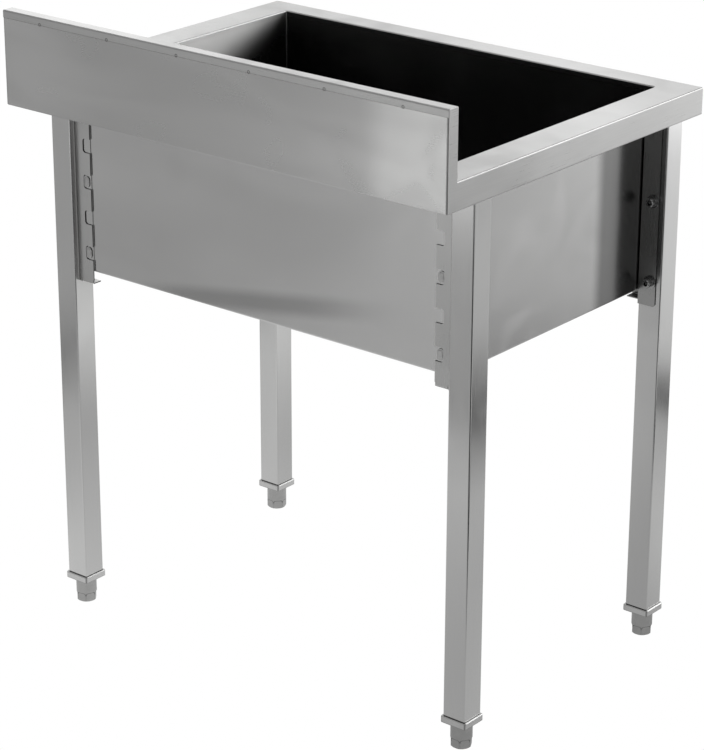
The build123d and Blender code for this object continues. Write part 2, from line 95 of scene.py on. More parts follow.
class SinkFasteners(PropertyGroup):
    """Sizes of the small fasteners that the CAD model keeps plain."""

    screw_low: length_setting("Lowest screw", "Lowest screw's height over the bracket's bottom end", 0.037)
    screw_high: length_setting("Highest screw", "Highest screw's distance from the bracket's top end", 0.032)
    bracket_sheet: length_setting("Bracket sheet", "Thickness of the brackets", 0.0015)
    knurls: IntProperty(name="Knurls", description="Ridges round each screw's head", min=12, default=40)
    thread_pitch: length_setting("Thread pitch", "Pitch of the feet's studs", 0.00175)
    flat_width: length_setting("Flat width", "Width of a foot's wrench flat", 0.01465)
    flat_height: length_setting("Flat height", "Height of a foot's wrench flat", 0.014)
    flat_corner: length_setting("Flat corner", "Radius of a wrench flat's upper corners", 0.003)
    lap: length_setting("Lap", "Thickness of the lap under the brackets", 0.001)
    notch_end: length_setting("Notch end", "First and last notch to the bracket's ends", 0.0475)
    weld_middle: length_setting("Weld middle", "Middle of a notch's weld to the bracket's free edge", 0.0085)
    weld_rise: length_setting("Weld rise", "Height of a notch's weld over the wall's lap", 0.0011)
    spot_pitch: length_setting("Spot weld pitch", "Distance between spot welds along the splashback's lip", 0.1305)


class SinkStudio(PropertyGroup):
    """Camera and light."""

    place: FloatVectorProperty(
        name="Camera", description="Where the camera stands",
        subtype="TRANSLATION", unit="LENGTH", size=3, default=(-2.41576, 2.96599, 1.91944),
    )
    azimuth: FloatProperty(
        name="Azimuth", description="Camera's direction, from the back towards the right",
        subtype="ANGLE", default=math.radians(39.17),
    )
    elevation: FloatProperty(
        name="Elevation", description="Camera's tilt, up from level", subtype="ANGLE", default=math.radians(-21.59),
    )
    roll: FloatProperty(name="Roll", description="Camera's roll", subtype="ANGLE", default=math.radians(0.15))
    focal_length: FloatProperty(
        name="Focal length", description="Lens, in millimetres on a 36 mm frame", min=10, default=132.44,
    )
    backdrop: colour_setting("Backdrop", "the floor and the backdrop", (1.0, 1.0, 1.0))


# ---------- node helpers
def add_node(tree, kind, inputs=None, **settings):
    """Adds a node. An input's value is a plain value, or a socket that is linked to it."""
    made = tree.nodes.new(kind)
    for key, value in settings.items():
        setattr(made, key, value)
    for key, value in (inputs or {}).items():
        if isinstance(value, bpy.types.NodeSocket):
            tree.links.new(value, made.inputs[key])
        else:
            made.inputs[key].default_value = value
    return made


def calc(tree, operation, *values, clamp=False):
    """A Math node's result."""
    return add_node(
        tree, "ShaderNodeMath", dict(enumerate(values)), operation=operation, use_clamp=clamp
    ).outputs[0]


def product(tree, first, *others):
    """Several values multiplied."""
    for value in others:
        first = calc(tree, "MULTIPLY", first, value)
    return first


def minus(tree, value, other):
    """A value less another."""
    return calc(tree, "SUBTRACT", value, other)


def gap(tree, value, middle):
    """How far a value is from a middle, either way."""
    return calc(tree, "ABSOLUTE", minus(tree, value, middle))


def distance(tree, across, along):
    """The length of the slope over two sides."""
    squares = product(tree, across, across), product(tree, along, along)
    return calc(tree, "SQRT", calc(tree, "ADD", *squares))


def split(tree, coordinate):
    """X, Y and Z of a texture coordinate: Object is where a point lies, Normal the way its surface faces."""
    place = add_node(tree, "ShaderNodeTexCoord")
    return add_node(tree, "ShaderNodeSeparateXYZ", {0: place.outputs[coordinate]}).outputs


def looks(tree, axis, way, limit=0.7):
    """1 on faces that look along an axis: to its positive end, way 1, its negative end, -1, or either, 0."""
    part = split(tree, "Normal")[axis]
    toward = product(tree, part, way) if way else calc(tree, "ABSOLUTE", part)
    return calc(tree, "GREATER_THAN", toward, limit)


def scaled(tree, vector, factor):
    """A vector or a colour times a number."""
    return add_node(tree, "ShaderNodeVectorMath", {0: vector, "Scale": factor}, operation="SCALE").outputs[0]


def times(tree, vector, other):
    """A vector times another, part by part."""
    return add_node(tree, "ShaderNodeVectorMath", {0: vector, 1: other}, operation="MULTIPLY").outputs[0]


def choose(tree, factor, first, second):
    """Two numbers mixed by factor."""
    return add_node(tree, "ShaderNodeMix", {0: factor, 2: first, 3: second}, data_type="FLOAT").outputs[0]


def fade(tree, value, low, high, to_low=0.0, to_high=1.0):
    """Value mapped smoothly from one range to another."""
    return add_node(
        tree, "ShaderNodeMapRange",
        {"Value": value, "From Min": low, "From Max": high, "To Min": to_low, "To Max": to_high},
        interpolation_type="SMOOTHSTEP",
    ).outputs["Result"]


def noise(tree, place, scale, detail, roughness, distortion=0.0):
    """A noise texture's value."""
    return add_node(
        tree, "ShaderNodeTexNoise",
        {"Vector": place, "Scale": scale, "Detail": detail, "Roughness": roughness, "Distortion": distortion},
    ).outputs["Fac"]


def give_way(tree, colour, mask, other):
    """A colour that gives way to another one, three numbers, where mask is 1."""
    return add_node(tree, "ShaderNodeMix", {0: mask, 6: colour, 7: (*other, 1.0)}, data_type="RGBA").outputs[2]


def dull(tree, colour, mask, share):
    """A colour made darker by a share of itself where mask is 1."""
    return scaled(tree, colour, minus(tree, 1.0, product(tree, mask, share)))


def blacken(tree, colour, mask):
    """A colour that gives way to near black where mask is 1: weld burns, and painted shade."""
    return give_way(tree, colour, mask, bpy.context.scene.sink_steel.burn_and_shade)


def new_group(name, inputs, outputs, kind="ShaderNodeTree"):
    """An empty node group with named sockets, and its input and output nodes."""
    group = bpy.data.node_groups.new(name, kind)
    for label, socket_type, default in inputs:
        socket = group.interface.new_socket(label, in_out="INPUT", socket_type=socket_type)
        if default is not None:
            socket.default_value = default
    for label, socket_type in outputs:
        group.interface.new_socket(label, in_out="OUTPUT", socket_type=socket_type)
    return group, group.nodes.new("NodeGroupInput"), group.nodes.new("NodeGroupOutput")


def place_group(tree, group, inputs=None):
    """A group node with its inputs set."""
    return add_node(tree, "ShaderNodeGroup", inputs, node_tree=group)


# ---------- shader groups
def brushed_grain():
    """Fine scratches. They run along the coordinate with the small scale."""
    group, given, result = new_group(
        "Brushed grain",
        [
            ("Scale", "NodeSocketVector", (20.0, 1200.0, 1200.0)),
            ("Scale on ends", "NodeSocketVector", (1200.0, 20.0, 1200.0)),
            ("Depth", "NodeSocketFloat", 0.00001),
        ],
        [("Streak", "NodeSocketFloat"), ("Height", "NodeSocketFloat")],
    )
    place = add_node(group, "ShaderNodeTexCoord")
    chosen = add_node(
        group, "ShaderNodeMix",
        {0: looks(group, "X", 0), 4: given.outputs["Scale"], 5: given.outputs["Scale on ends"]}, data_type="VECTOR",
    )
    stretched = times(group, place.outputs["Object"], chosen.outputs[1])
    # turned in the stretched space, so that no face lies along the noise's own grid
    turned = add_node(
        group, "ShaderNodeVectorRotate", {"Vector": stretched, "Rotation": (0.5, 0.7, 0.9)},
        rotation_type="EULER_XYZ",
    )
    streak = noise(group, turned.outputs[0], 1.0, 3.0, 0.6)
    group.links.new(streak, result.inputs["Streak"])
    group.links.new(product(group, streak, given.outputs["Depth"]), result.inputs["Height"])
    return group


def sheet_ripple():
    """The slight unevenness of thin sheet, which bends its reflections into soft patches."""
    group, given, result = new_group(
        "Sheet ripple",
        [
            ("Patches", "NodeSocketFloat", 8.0),
            ("Depth", "NodeSocketFloat", 0.0004),
            ("Stretch", "NodeSocketVector", (1.0, 1.0, 1.0)),
        ],
        [("Height", "NodeSocketFloat"), ("Patch", "NodeSocketFloat")],
    )
    place = add_node(group, "ShaderNodeTexCoord")
    stretched = times(group, place.outputs["Object"], given.outputs["Stretch"])
    patch = noise(group, stretched, given.outputs["Patches"], 2.0, 0.35, 0.6)
    group.links.new(product(group, patch, given.outputs["Depth"]), result.inputs["Height"])
    group.links.new(patch, result.inputs["Patch"])
    return group


def handling_marks():
    """Faint wiped smears."""
    group, given, result = new_group(
        "Handling marks",
        [("Smears", "NodeSocketFloat", 12.0), ("Amount", "NodeSocketFloat", 0.05)],
        [("Roughness", "NodeSocketFloat")],
    )
    place = add_node(group, "ShaderNodeTexCoord")
    smear = fade(group, noise(group, place.outputs["Object"], given.outputs["Smears"], 1.5, 0.4, 1.0), 0.4, 0.8)
    group.links.new(product(group, smear, given.outputs["Amount"]), result.inputs["Roughness"])
    return group


GROUPS = {}


def shared(build):
    """The group that build makes, made once."""
    if build.__name__ not in GROUPS:
        GROUPS[build.__name__] = build()
    return GROUPS[build.__name__]


SCRATCH_DEPTH = 0.000003
UNEVEN = 0.03  # how much the scratches vary the colour and the roughness
PATCHY = 0.04  # how much the sheet's ripple varies the colour


def steel(
    name, colour, roughness, along="y", grain=1.0, ripple=0.0, patches=8.0, anisotropy=0.0, dress=None,
    stretch=(1.0, 1.0, 1.0),
):
    """Brushed stainless steel.

    along is the way its scratches run on most of its faces, and grain how strong they are. ripple is how deep the
    sheet's unevenness is and patches how small. dress adds to a piece's colour and roughness its own marks, and
    painted light and shade.
    """
    settings = bpy.context.scene.sink_steel
    material = bpy.data.materials.new(name)
    material.use_nodes = True
    tree = material.node_tree
    shader = tree.nodes["Principled BSDF"]
    long, fine = 1 / settings.grain_length, 1 / settings.grain_width
    scales = {"x": (long, fine, fine), "y": (fine, long, fine), "z": (fine, fine, long)}
    on_ends = scales["y"] if along == "x" else scales[along]
    scratches = place_group(
        tree, shared(brushed_grain),
        {"Scale": scales[along], "Scale on ends": on_ends, "Depth": SCRATCH_DEPTH * grain},
    ).outputs
    waves = place_group(tree, shared(sheet_ripple), {"Patches": patches, "Depth": ripple, "Stretch": stretch}).outputs
    smears = place_group(tree, shared(handling_marks)).outputs["Roughness"]
    uneven = UNEVEN * grain
    streaky = fade(tree, scratches["Streak"], 0.3, 0.7, -uneven, uneven)
    rough = calc(tree, "ADD", calc(tree, "ADD", smears, streaky), roughness, clamp=True)
    toned = fade(tree, scratches["Streak"], 0.3, 0.7, 1 - uneven, 1 + uneven)
    patchy = product(tree, toned, fade(tree, waves["Patch"], 0.3, 0.7, 1 - PATCHY, 1 + PATCHY))
    colour_node = add_node(tree, "ShaderNodeRGB")
    colour_node.outputs[0].default_value = (*colour, 1.0)
    tinted = scaled(tree, colour_node.outputs[0], patchy)
    height = calc(tree, "ADD", scratches["Height"], waves["Height"])
    bump = add_node(tree, "ShaderNodeBump", {"Strength": 1.0, "Distance": 1.0, "Height": height})
    if dress:
        tinted, rough = dress(tree, tinted, rough)
    tree.links.new(tinted, shader.inputs["Base Color"])
    tree.links.new(rough, shader.inputs["Roughness"])
    tree.links.new(bump.outputs[0], shader.inputs["Normal"])
    rotation = 0.0 if along == "z" else 0.25
    for socket, value in (("Metallic", 1.0), ("Anisotropic", anisotropy), ("Anisotropic Rotation", rotation)):
        shader.inputs[socket].default_value = value
    tangent = add_node(tree, "ShaderNodeTangent", direction_type="RADIAL", axis="Z")
    tree.links.new(tangent.outputs[0], shader.inputs["Tangent"])
    return material


def finish_node(node, material):
    """Gives a CAD node its material."""
    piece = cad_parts[node]
    if not piece.data.materials:
        piece.data.materials.append(material)
    for slot in piece.material_slots:
        slot.material = material


def show(piece):
    """Puts a new object into the scene."""
    bpy.context.scene.collection.objects.link(piece)
    return piece


# ---------- mesh helpers
def new_piece(name, bm, material=None, smooth=True):
    """An object from a bmesh."""
    bmesh.ops.recalc_face_normals(bm, faces=bm.faces)
    mesh = bpy.data.meshes.new(name)
    bm.to_mesh(mesh)
    bm.free()
    for polygon in mesh.polygons:
        polygon.use_smooth = smooth
    if material:
        mesh.materials.append(material)
    return show(bpy.data.objects.new(name, mesh))


def ring_of(bm, radii, height):
    """A ring of vertices, one for each radius, evenly spaced round Z. Sizes are in millimetres."""
    count = len(radii)
    return [
        bm.verts.new((r * MM * math.cos(math.tau * k / count), r * MM * math.sin(math.tau * k / count), height * MM))
        for k, r in enumerate(radii)
    ]


def turned_rings(bm, profile, count):
    """Rings of vertices, one for each radius and height of a turned profile."""
    return [ring_of(bm, [radius] * count, height) for radius, height in profile]


def skin(bm, rings, close_first=True, close_last=True):
    """Faces between successive rings, with the ends closed."""
    for lower, upper in zip(rings, rings[1:]):
        for k in range(len(lower)):
            after = (k + 1) % len(lower)
            bm.faces.new((lower[k], lower[after], upper[after], upper[k]))
    if close_first:
        bm.faces.new(list(reversed(rings[0])))
    if close_last:
        bm.faces.new(rings[-1])


# ---------- geometry nodes
def set_out_tree():
    """Copies of one template on a row of seats, each turned to face the seat's way."""
    group, given, result = new_group(
        "Set out pieces",
        [
            ("Seats", "NodeSocketGeometry", None),
            ("Template", "NodeSocketObject", None),
            ("Spin unevenness", "NodeSocketFloat", 0.0),
            ("Seed", "NodeSocketInt", 4),
            ("Finish", "NodeSocketMaterial", None),
        ],
        [("Pieces", "NodeSocketGeometry")],
        kind="GeometryNodeTree",
    )
    facing = add_node(group, "GeometryNodeInputNamedAttribute", {"Name": "facing"}, data_type="FLOAT_VECTOR")
    turned = add_node(group, "FunctionNodeAlignRotationToVector", {"Vector": facing.outputs[0]}, axis="Z")
    chance = add_node(
        group, "FunctionNodeRandomValue",
        {2: product(group, given.outputs["Spin unevenness"], -1.0),
         3: given.outputs["Spin unevenness"], "Seed": given.outputs["Seed"]},
        data_type="FLOAT",
    )
    spin = add_node(group, "ShaderNodeCombineXYZ", {"Z": chance.outputs[1]})
    as_rotation = add_node(group, "FunctionNodeEulerToRotation", {0: spin.outputs[0]})
    spun = add_node(
        group, "FunctionNodeRotateRotation", {0: turned.outputs[0], 1: as_rotation.outputs[0]}, rotation_space="LOCAL"
    )
    template = add_node(
        group, "GeometryNodeObjectInfo", {"Object": given.outputs["Template"]}, transform_space="ORIGINAL"
    )
    placed = add_node(
        group, "GeometryNodeInstanceOnPoints",
        {"Points": given.outputs["Seats"], "Instance": template.outputs["Geometry"], "Rotation": spun.outputs[0]},
    )
    real = add_node(group, "GeometryNodeRealizeInstances", {0: placed.outputs[0]})
    finished = add_node(
        group, "GeometryNodeSetMaterial", {"Geometry": real.outputs[0], "Material": given.outputs["Finish"]}
    )
    group.links.new(finished.outputs[0], result.inputs["Pieces"])
    return group


def set_out(name, template, seats, material, spin=0.0):
    """One plain mesh of template repeated on seats, which are pairs of a place and a facing direction."""
    mesh = bpy.data.meshes.new(name)
    mesh.from_pydata([place for place, _ in seats], [], [])
    facing = mesh.attributes.new("facing", "FLOAT_VECTOR", "POINT")
    for k, (_, direction) in enumerate(seats):
        facing.data[k].vector = direction
    row = show(bpy.data.objects.new(name + "_row", mesh))
    modifier = row.modifiers.new("Set out", "NODES")
    modifier.node_group = shared(set_out_tree)
    sockets = {
        item.name: item.identifier for item in modifier.node_group.interface.items_tree if item.in_out == "INPUT"
    }
    for label, value in (("Template", template), ("Spin unevenness", spin), ("Finish", material)):
        modifier[sockets[label]] = value
    evaluated = row.evaluated_get(bpy.context.evaluated_depsgraph_get())
    plain = bpy.data.meshes.new_from_object(evaluated)
    plain.name = name
    piece = show(bpy.data.objects.new(name, plain))
    row.modifiers.remove(modifier)
    bpy.data.objects.remove(row)
    bpy.data.objects.remove(template)
    return piece


def screw_seats(offset=0.0):
    """Where each leg screw's washer lies on its bracket, moved by offset towards the screw's head."""
    sizes = bpy.context.scene.sink_fasteners
    seats = []
    for corner in CORNERS:
        leg_low, leg_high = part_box(f"leg_{corner}")
        bracket_low, bracket_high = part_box(f"bracket_{corner}")
        way = -1 if corner.startswith("rear") else 1
        face = (leg_low if way < 0 else leg_high)[1] + way * (sizes.bracket_sheet + offset)
        low, high = bracket_low[2] + sizes.screw_low, bracket_high[2] - sizes.screw_high
        for height in (low, (low + high) / 2, high):
            seats.append((((leg_low[0] + leg_high[0]) / 2, face, height), (0, way, 0)))
    return seats


# ---------- operators
class SINK_OT_sheet_metal(Operator):
    """Finish the worktop, the basin and the back cover"""

    bl_idname = "sink.sheet_metal"
    bl_label = "Sheet metal"

    HALF_SHEET = 0.0006
    FOLD_TOP = 0.0066  # the opening's folded edge reaches this far over the basin's top
    SPOT_RISE = 0.0012  # from the back cover's top edge to the middles of the spot welds
    SPOT_CORE, SPOT_RIM = (0.0009, 0.0016), (0.0028, 0.0021)  # radii that a spot weld's ring fades between
    SHADE_BAND_MIDDLE = 0.5813  # height of the band of painted shade on the basin's rear wall, at the wall's middle
    SHADE_BAND_SLOPE = 0.16
    SHADE_BAND_COLOUR = (0.1, 0.1, 0.1)
    FADE_SLOPE = 2.5

    def execute(self, context):
        colours = context.scene.sink_steel
        worktop = steel(
            "Satin worktop", colours.sheet, 0.30, along="x", ripple=0.00015, patches=5.0, anisotropy=0.5,
            dress=self.dress_worktop,
        )
        cover = steel(
            "Back cover sheet", colours.sheet, 0.24, along="x", grain=0.2, ripple=0.0008, patches=6.0, anisotropy=0.2,
            stretch=(0.7, 1.0, 2.2), dress=self.dress_cover,
        )
        basin = steel(
            "Basin sheet", colours.basin, 0.22, along="x", grain=0.2, ripple=0.0006, patches=4.0, anisotropy=0.8,
            stretch=(0.6, 0.6, 1.8), dress=self.dress_basin,
        )
        finish_node("worktop", worktop)
        finish_node("back_cover", cover)
        finish_node("basin", basin)
        return {"FINISHED"}

    def dress_worktop(self, tree, colour, rough):
        """Spot welds, painted shade on the top near its front left corner and on its left side towards the rear, and
        the opening's folded edge, which gets the basin's painted inside shade.
        """
        at = split(tree, "Object")
        # painted shade: darker top near the front left corner, and darker left side faces towards the rear
        corner = product(tree, fade(tree, at["X"], -0.15, -0.36), fade(tree, at["Y"], 0.0, -0.25), looks(tree, "Z", 1))
        rear = product(tree, fade(tree, at["Y"], 0.02, 0.25), looks(tree, "X", -1))
        colour = dull(tree, dull(tree, colour, corner, 0.24), rear, 0.16)
        colour, rough = self.mark_spot_welds(tree, colour, rough)
        folded = calc(tree, "LESS_THAN", at["Z"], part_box("basin")[1][2] + self.FOLD_TOP)
        return self.paint_inside_shade_and_highlight(tree, at, folded, colour, rough)

    def dress_cover(self, tree, colour, rough):
        """Spot welds, and painted light: the left end brighter, and the middle a little darker than the right end."""
        along = split(tree, "Object")["X"]
        painted_light_gain = product(tree, fade(tree, along, 0.35, 0.2, 1.0, 0.93), fade(tree, along, -0.25, -0.31, 1.0, 1.27))
        return self.mark_spot_welds(tree, scaled(tree, colour, painted_light_gain), rough)

    def dress_basin(self, tree, colour, rough):
        """A band of painted shade low on the rear wall, painted shade on the left end wall by its front bracket, and
        the inside's painted shade and highlight.
        """
        at = split(tree, "Object")
        # the band of painted shade slopes across the rear wall
        middle = minus(tree, self.SHADE_BAND_MIDDLE, product(tree, at["X"], self.SHADE_BAND_SLOPE))
        ends = product(tree, fade(tree, at["X"], 0.27, 0.13), fade(tree, at["X"], -0.28, -0.05))
        shade_band = product(tree, fade(tree, gap(tree, at["Z"], middle), 0.024, 0.003), ends, looks(tree, "Y", 1), 0.38)
        colour = give_way(tree, colour, shade_band, self.SHADE_BAND_COLOUR)
        # painted shade on the left end wall beside its front bracket
        front = product(tree, fade(tree, at["Y"], -0.11, -0.14), looks(tree, "X", -1))
        return self.paint_inside_shade_and_highlight(tree, at, looks(tree, "Z", 1, -0.3), dull(tree, colour, front, 0.55), rough)

    def mark_spot_welds(self, tree, colour, rough):
        """Rings that the electrode burnt along the joint between the splashback's lip and the back cover."""
        pitch = bpy.context.scene.sink_fasteners.spot_pitch
        back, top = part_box("back_cover")[1][1:]
        at = split(tree, "Object")
        across = minus(tree, calc(tree, "FLOORED_MODULO", at["X"], pitch), pitch / 2)
        radius = distance(tree, across, minus(tree, at["Z"], top + self.SPOT_RISE))
        ring = product(tree, fade(tree, radius, *self.SPOT_CORE), fade(tree, radius, *self.SPOT_RIM))
        ring = product(tree, ring, calc(tree, "GREATER_THAN", at["Y"], back - 0.0003), 0.75)
        return blacken(tree, colour, ring), rough

    def paint_inside_shade_and_highlight(self, tree, at, chosen, colour, rough):
        """Between the basin's walls, where chosen is 1, painted shade on the inside faces, and a painted highlight,
        also rougher, on the end walls.
        """
        colours = bpy.context.scene.sink_steel
        low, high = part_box("basin")
        middle = (low[1] + high[1]) / 2
        half_width = high[1] - middle - bpy.context.scene.sink_fasteners.lap - self.HALF_SHEET
        inside = product(
            tree, calc(tree, "LESS_THAN", calc(tree, "ABSOLUTE", at["X"]), high[0] - self.HALF_SHEET),
            calc(tree, "LESS_THAN", gap(tree, at["Y"], middle), half_width), chosen,
        )
        end = looks(tree, "X", 0)
        # the painted highlight on an end wall, which is also rougher, fades out downwards and towards the front, on a
        # slope of FADE_SLOPE
        depth = calc(tree, "MAXIMUM", minus(tree, high[2], at["Z"]), 0.0)
        reach = minus(tree, at["Y"], product(tree, depth, self.FADE_SLOPE))
        # brushed marks the painted highlight on the end walls, which are also rougher there
        brushed = product(tree, inside, end, fade(tree, reach, -0.35, -0.13, 0.12, 1.0))
        # the painted shade is full on the end walls and the front wall, and lighter on the rear wall and the bottom
        shadiest_faces = calc(tree, "MAXIMUM", end, looks(tree, "Y", 1, 0.5))
        inside_shade_mask = product(tree, inside, fade(tree, shadiest_faces, 0.0, 1.0, 0.6, 1.0))
        colour = give_way(tree, colour, inside_shade_mask, colours.basin_inside_shade)
        colour = give_way(tree, colour, brushed, colours.basin_ends_highlight)
        return colour, calc(tree, "ADD", rough, product(tree, brushed, 0.25))


class SINK_OT_legs(Operator):
    """Finish the four tube legs and their plugs"""

    bl_idname = "sink.legs"
    bl_label = "Legs"

    # painted light and shade on each tube's sides: a low and a high place on it, and how bright the side is there
    PAINTED_SIDE_LIGHT = {
        "rear_left": {("X", -1): (0.28, 0.5, 1.12, 1.3)},
        "rear_right": {("X", -1): (0.28, 0.5, 0.98, 1.35)},
        "front_left": {("X", -1): (0.28, 0.5, 1.03, 1.62), ("Y", 1): (0.28, 0.45, 0.9, 0.82)},
        "front_right": {("X", -1): (0.1, 0.36, 0.88, 1.4), ("Y", 1): (0.08, 0.28, 0.93, 1.17)},
    }

    def execute(self, context):
        colours = context.scene.sink_steel
        for corner in CORNERS:
            # each corner's tube gets its own copy of the material, for its own painted light
            tube = steel(
                f"Satin tube {corner}", colours.tube, 0.19, along="z", grain=0.6, ripple=0.0006, patches=4.0,
                anisotropy=0.5, stretch=(1.5, 1.5, 0.5), dress=lambda *given: self.dress_tube(*given, corner),
            )
            plug = steel(
                f"Cast plug {corner}", colours.tube, 0.36, along="x", grain=0.5, ripple=0.0001, patches=30.0,
                dress=lambda *given: self.shade_plug(*given, corner),
            )
            finish_node(f"leg_{corner}", tube)
            finish_node(f"plug_{corner}", plug)
        return {"FINISHED"}

    def dress_tube(self, tree, colour, rough, corner):
        """Painted light and shade on the sides, and painted shadow where the tube stands on its plug."""
        height = split(tree, "Object")["Z"]
        for (axis, way), (low, high, at_low, at_high) in self.PAINTED_SIDE_LIGHT[corner].items():
            painted_light_gain = fade(tree, height, low, high, at_low - 1, at_high - 1)
            painted_light_gain = calc(tree, "ADD", product(tree, looks(tree, axis, way), painted_light_gain), 1.0)
            colour = scaled(tree, colour, painted_light_gain)
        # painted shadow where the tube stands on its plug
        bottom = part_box(f"leg_{corner}")[0][2]
        return blacken(tree, colour, fade(tree, height, bottom + 0.0013, bottom + 0.0004)), rough

    def shade_plug(self, tree, colour, rough, corner):
        """Painted shade in the sharp corners of the plug's square flange and under it."""
        low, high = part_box(f"plug_{corner}")
        half = (high[0] - low[0]) / 2
        at = split(tree, "Object")
        near_edges = [
            fade(tree, gap(tree, at[axis], (low[axis] + high[axis]) / 2), half - 0.0032, half - 0.0008)
            for axis in (0, 1)
        ]
        under = product(tree, fade(tree, at["Z"], low[2] + 0.0014, low[2] + 0.0003), 0.6)
        plug_shade = calc(tree, "MAXIMUM", product(tree, *near_edges), under)
        return blacken(tree, colour, product(tree, plug_shade, 0.75)), rough


class SINK_OT_brackets(Operator):
    """Finish the leg brackets"""

    bl_idname = "sink.brackets"
    bl_label = "Brackets"

    FREE_EDGE, LEG_EDGE = 0.0165, 0.005  # how far the cut edges on a bracket's sides reach in
    TOE = 0.002  # how far the toe's underside reaches over the basin's bottom
    LOW_END = (0.585, 0.565)  # heights that the painted shade at the low end of a front flange fades between

    def execute(self, context):
        sheet = steel(
            "Bracket sheet", context.scene.sink_steel.bracket, 0.28, along="z", grain=0.35, ripple=0.0002,
            patches=10.0, anisotropy=0.2, dress=self.darken_edges,
        )
        for corner in CORNERS:
            finish_node(f"bracket_{corner}", sheet)
        return {"FINISHED"}

    def darken_edges(self, tree, colour, rough):
        """Painted shade on the sheet's cut edges, which are also rougher."""
        low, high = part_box("bracket_rear_right")
        wall_low, wall_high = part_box("basin")
        middle = (wall_low[1] + wall_high[1]) / 2
        at = split(tree, "Object")
        across = calc(tree, "ABSOLUTE", at["X"])
        near_free = calc(tree, "LESS_THAN", across, low[0] + self.FREE_EDGE)
        near_end = calc(tree, "GREATER_THAN", across, high[0] - self.LEG_EDGE)
        on_sides = product(tree, looks(tree, "X", 0, 0.5), calc(tree, "MAXIMUM", near_free, near_end))
        on_wall = calc(tree, "GREATER_THAN", gap(tree, at["Y"], middle), wall_high[1] - middle)
        cut = calc(tree, "MAXIMUM", on_sides, product(tree, on_wall, looks(tree, "Z", 0, 0.5)))
        # painted shade on the front brackets' toes, under the basin
        front = calc(tree, "LESS_THAN", at["Y"], middle)
        under = calc(tree, "LESS_THAN", at["Z"], wall_low[2] + self.TOE)
        cut = calc(tree, "MAXIMUM", cut, product(tree, front, looks(tree, "Z", 1, 0.5), under))
        # and painted shade on their flanges on the legs, below the last screw
        low_end = product(tree, front, looks(tree, "Y", 1), fade(tree, at["Z"], *self.LOW_END))
        # cut holds the painted shade on the edges and the toes
        colour = blacken(tree, dull(tree, colour, low_end, 0.4), cut)
        return colour, calc(tree, "MAXIMUM", rough, product(tree, cut, 0.6))


class SINK_OT_fasteners(Operator):
    """Set out the knurled socket screws and the washers, and finish the nuts"""

    bl_idname = "sink.fasteners"
    bl_label = "Fasteners"

    SOCKET, RIM = (0.0040, 0.0034), (0.0088, 0.0098)  # radii that the painted shade in and round a screw fades between

    def execute(self, context):
        finish = steel(
            "Fastener steel", context.scene.sink_steel.fastener, 0.2, grain=0.3, ripple=0.00003, patches=60.0,
            dress=self.darken_sockets,
        )
        # each piece's name, template, node, height over the bracket and unevenness of its turn
        pieces = (
            ("screws", self.screw(context.scene.sink_fasteners.knurls), "socket_screws", 0.0036, 0.4),
            ("washers", self.washer(), "flat_washers", 0.0, 0.0),
            ("spring_rings", self.spring_ring(), "spring_washers", 0.0016, 0.9),
        )
        for name, template, node, offset, spin in pieces:
            piece = set_out(name, template, screw_seats(offset), finish, spin=spin)
            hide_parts(node)
            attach(piece, "frame")
        finish_node("weld_nuts", finish)
        return {"FINISHED"}

    def darken_sockets(self, tree, colour, rough):
        """Painted shade in the screws' sockets and in the angle between the washers and the bracket."""
        seats = screw_seats()
        at = split(tree, "Object")
        across = minus(tree, calc(tree, "ABSOLUTE", at["X"]), abs(seats[0][0][0]))
        first, *others = [gap(tree, at["Z"], height) for (_, _, height), _ in seats[:3]]
        for other in others:
            first = calc(tree, "MINIMUM", first, other)
        radius = distance(tree, across, first)
        socket = fade(tree, radius, *self.SOCKET)
        edge = minus(tree, 1.0, looks(tree, "Y", 0))
        rim = product(tree, fade(tree, radius, *self.RIM), edge)
        return blacken(tree, colour, product(tree, calc(tree, "MAXIMUM", socket, rim), 0.9)), rough

    def screw(self, knurls):
        """A socket head cap screw, its head standing on Z = 0 and its shank below."""
        bm = bmesh.new()
        count = knurls * 2
        ridge, groove, half_key, flare = 6.5, 6.28, 3.0, 1.16
        ridged = [ridge if k % 2 else groove for k in range(count)]
        hexagon = [half_key / math.cos((math.tau * k / count) % (math.pi / 3) - math.pi / 6) for k in range(count)]
        flared = [radius * flare for radius in hexagon]
        rings = turned_rings(bm, ((3.4, -16.4), (4.0, -15.8), (4.0, 0.0), (5.9, 0.0), (6.25, 0.35)), count)
        rings += [ring_of(bm, ridged, 0.8), ring_of(bm, ridged, 6.6)]
        rings += turned_rings(bm, ((6.2, 7.1), (5.7, 7.8), (5.4, 8.0)), count)
        rings += [ring_of(bm, flared, 8.0), ring_of(bm, hexagon, 7.6), ring_of(bm, hexagon, 3.6)]
        rings += turned_rings(bm, ((0.4, 2.6),), count)
        skin(bm, rings)
        return new_piece("screw_template", bm, smooth=False)

    def washer(self):
        """A flat washer with softened edges, lying on Z = 0."""
        hole, rim, top, edge = 4.3, 10.0, 1.6, 0.15
        profile = (
            (hole, edge), (hole, top - edge), (hole + edge, top), (rim - edge, top),
            (rim, top - edge), (rim, edge), (rim - edge, 0.0), (hole + edge, 0.0),
        )
        bm = bmesh.new()
        rings = turned_rings(bm, profile, 48)
        skin(bm, rings + [rings[0]], close_first=False, close_last=False)
        return new_piece("washer_template", bm, smooth=False)

    def spring_ring(self):
        """A split spring ring."""
        section = [(4.3, 0.1), (4.4, 0.0), (7.3, 0.0), (7.4, 0.1), (7.4, 1.9), (7.3, 2.0), (4.4, 2.0), (4.3, 1.9)]
        steps = 44
        slit = math.asin(0.7 / 7.0)  # half of it, as an angle
        bm = bmesh.new()
        rings = []
        for k in range(steps + 1):
            turn = slit + (math.tau - 2 * slit) * k / steps
            rings.append([
                bm.verts.new((r * MM * math.cos(turn), r * MM * math.sin(turn), h * MM)) for r, h in section
            ])
        skin(bm, rings)
        return new_piece("spring_template", bm, smooth=False)


